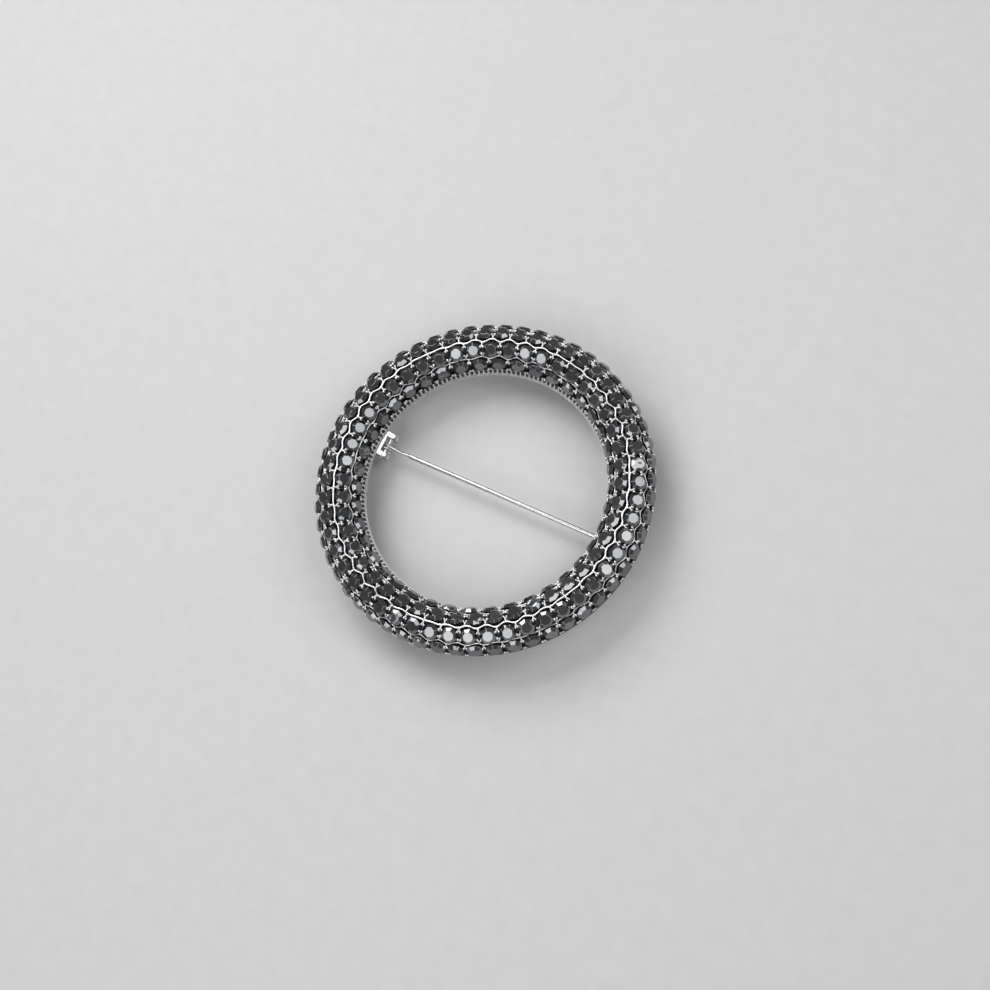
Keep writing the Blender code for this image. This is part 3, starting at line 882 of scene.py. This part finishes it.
def build_finding(node, material):
    """One of the hinge and catch parts: the shape of its CAD node with its edges rounded over."""
    source = frame["nodes"][node]
    bm = bmesh.new()
    bm.from_mesh(source.data)
    bm.transform(source.matrix_world)
    bmesh.ops.remove_doubles(bm, verts=bm.verts, dist=FINDING_MERGE)
    bmesh.ops.dissolve_limit(bm, angle_limit=FINDING_FLAT, verts=bm.verts, edges=bm.edges)
    sharp = [edge for edge in bm.edges if edge.calc_face_angle(0.0) > FINDING_CORNER]
    bmesh.ops.bevel(
        bm,
        geom=sharp,
        offset=FINDING_EDGE,
        segments=FINDING_EDGE_STEPS,
        profile=0.5,
        affect="EDGES",
        clamp_overlap=True,
    )
    bmesh.ops.triangulate(bm, faces=[face for face in bm.faces if len(face.verts) > 4])
    bm.verts.index_update()
    verts = [vert.co.copy() for vert in bm.verts]
    faces = sorted(from_lowest([vert.index for vert in face.verts]) for face in bm.faces)
    bm.free()
    obj = make_object(f"{node}_finished", verts, faces, [material], sharp_angle=FINDING_CORNER)
    weighted = obj.modifiers.new("flat_faces", "WEIGHTED_NORMAL")
    weighted.keep_sharp = True
    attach(obj, body_of(source)[0])
    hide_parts(node)


# ---------------------------------------------------------------- stage


def build_floor():
    """A plain pale floor. Only its top face shows, so that the back can be looked at from below."""
    z = cad_low.z - FLOOR_GAP
    corners = ((-1, -1), (1, -1), (1, 1), (-1, 1))
    verts = [(x * FLOOR_HALF, y * FLOOR_HALF, z) for x, y in corners]
    material, nodes, links, shader = new_material("pale_floor")
    fine = add_range(nodes, links, add_noise(nodes, links, scale=400.0, detail=2.0), 0.0, 1.0)
    colour = add_mix(nodes, links, fine, first=(0.6, 0.6, 0.6), second=(0.62, 0.62, 0.62))
    links.new(colour, shader.inputs["Base Color"])
    shader.inputs["Roughness"].default_value = 0.9
    shader.inputs["Specular IOR Level"].default_value = 0.1
    sides = nodes.new("ShaderNodeNewGeometry")
    clear = nodes.new("ShaderNodeBsdfTransparent")
    choose = nodes.new("ShaderNodeMixShader")
    links.new(sides.outputs["Backfacing"], choose.inputs["Fac"])
    links.new(shader.outputs["BSDF"], choose.inputs[1])
    links.new(clear.outputs["BSDF"], choose.inputs[2])
    links.new(choose.outputs["Shader"], nodes["Material Output"].inputs["Surface"])
    make_object("floor", verts, [(0, 1, 2, 3)], [material], smooth=False)


def build_softbox(name, azimuth, elevation, radiance):
    """One square soft light that faces the brooch from outside the picture."""
    turn, rise = math.radians(azimuth), math.radians(elevation)
    way = Vector((math.cos(rise) * math.cos(turn), math.cos(rise) * math.sin(turn), math.sin(rise)))
    side = SOFTBOX_SIDE_RADII * RING_RADIUS
    lamp = bpy.data.lights.new(name, "AREA")
    lamp.shape = "SQUARE"
    lamp.size = side
    lamp.energy = radiance * math.pi * side * side
    softbox = bpy.data.objects.new(name, lamp)
    softbox.location = way * SOFTBOX_DISTANCE_RADII * RING_RADIUS
    softbox.rotation_euler = way.to_track_quat("Z", "Y").to_euler()
    softbox.visible_camera = False
    bpy.context.scene.collection.objects.link(softbox)


def build_world():
    """An even grey room, the same from every side."""
    world = bpy.data.worlds.new("studio")
    bpy.context.scene.world = world
    world.use_nodes = True
    background = world.node_tree.nodes["Background"]
    background.inputs["Color"].default_value = (ROOM_GREY, ROOM_GREY, ROOM_GREY, 1.0)


def build_camera():
    camera = bpy.data.objects.new("camera", bpy.data.cameras.new("camera"))
    bpy.context.scene.collection.objects.link(camera)
    up = CAMERA_BACK.cross(CAMERA_RIGHT)
    across, above = CAMERA_SHIFT_RADII
    aim = CAMERA_RIGHT * across * RING_RADIUS + up * above * RING_RADIUS
    place = aim + CAMERA_BACK * CAMERA_DISTANCE_RADII * RING_RADIUS
    turn = Matrix((CAMERA_RIGHT, up, CAMERA_BACK)).transposed().to_4x4()
    camera.matrix_world = Matrix.Translation(place) @ turn
    camera.data.sensor_width = CAMERA_SENSOR
    camera.data.lens = CAMERA_SENSOR / 2 / math.tan(CAMERA_FIELD / 2)
    camera.data.clip_start, camera.data.clip_end = CAMERA_CLIP
    bpy.context.scene.camera = camera


# ---------------------------------------------------------------- assembly


def main():
    chance = random.Random(SEED)
    silver = silver_material()
    gunmetal_shade = gunmetal_shade_material()
    steel = steel_material()
    cement_shade = cement_shade_material()
    jet = jet_material()
    floor = build_casting(gunmetal_shade)
    for name in RAILS:
        build_rail(name, floor, silver)
        build_rail_prongs(name, silver, chance)
    build_rim_prongs("prongs_inner_rim", "inner_flank", -1, silver, chance)
    build_rim_prongs("prongs_outer_rim", "outer_flank", 1, silver, chance)
    build_milgrain("milgrain_inner", -1, silver)
    build_rim_ledge("rim_ledge_inner", -1, silver)
    for row in ROWS:
        build_bed(row, floor, cement_shade)
        for sector in range(1, SECTORS + 1):
            build_chatons(row, sector, jet, chance)
    build_pin(steel)
    for node in FINDINGS:
        build_finding(node, steel)
    build_floor()
    for name, (azimuth, elevation, radiance) in SOFTBOXES.items():
        build_softbox(name, azimuth, elevation, radiance)
    build_world()
    build_camera()
    bpy.context.scene.view_settings.view_transform = "Standard"


main()
